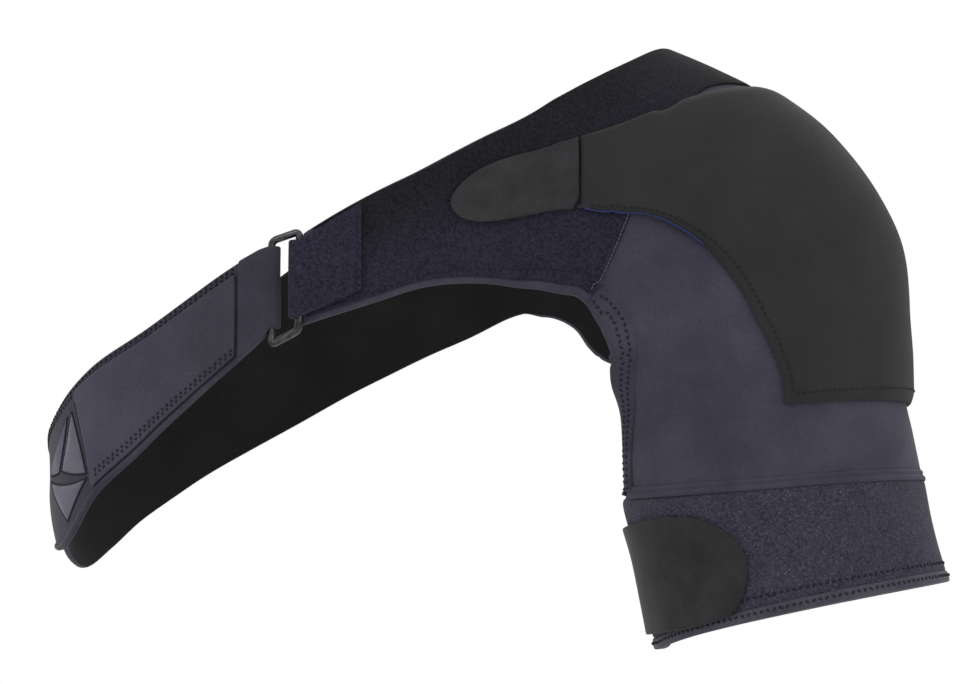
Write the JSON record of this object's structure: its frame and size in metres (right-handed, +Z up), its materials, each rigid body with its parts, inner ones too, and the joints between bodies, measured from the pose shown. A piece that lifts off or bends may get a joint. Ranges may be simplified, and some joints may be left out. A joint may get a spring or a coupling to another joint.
{
  "type": "shoulder brace",
  "caption": "Neoprene shoulder brace: a sleeve and shoulder cap with a padded cover, a chest strap that joins a belt at a metal ring, and a hook-and-loop arm band.",
  "frame": {"origin": "top of the wearer's right shoulder, where the brace hangs", "axes": "+Z up, -Y to the wearer's front, +X to the wearer's right arm"},
  "size_m": [0.4047, 0.2119, 0.2715],
  "materials": {
    "neoprene": "matte stretch jersey over foam",
    "loop": "brushed loop pile",
    "pad": "matte padded cloth",
    "hook": "matte hook tape",
    "webbing": "bound tape",
    "ring": "satin plated wire"
  },
  "bodies": {
    "root": {"body": "neoprene", "front_facing": "loop", "front_armhole_binding": "webbing", "back_armhole_binding": "webbing", "shoulder_pad": "pad", "pad_tab": "hook", "ring": "ring", "strap_fold": "loop", "chest_belt": "neoprene", "belt_facing": "loop", "arm_band": "neoprene", "hem_binding": "webbing", "arm_tab": "hook"}
  },
  "joints": []
}
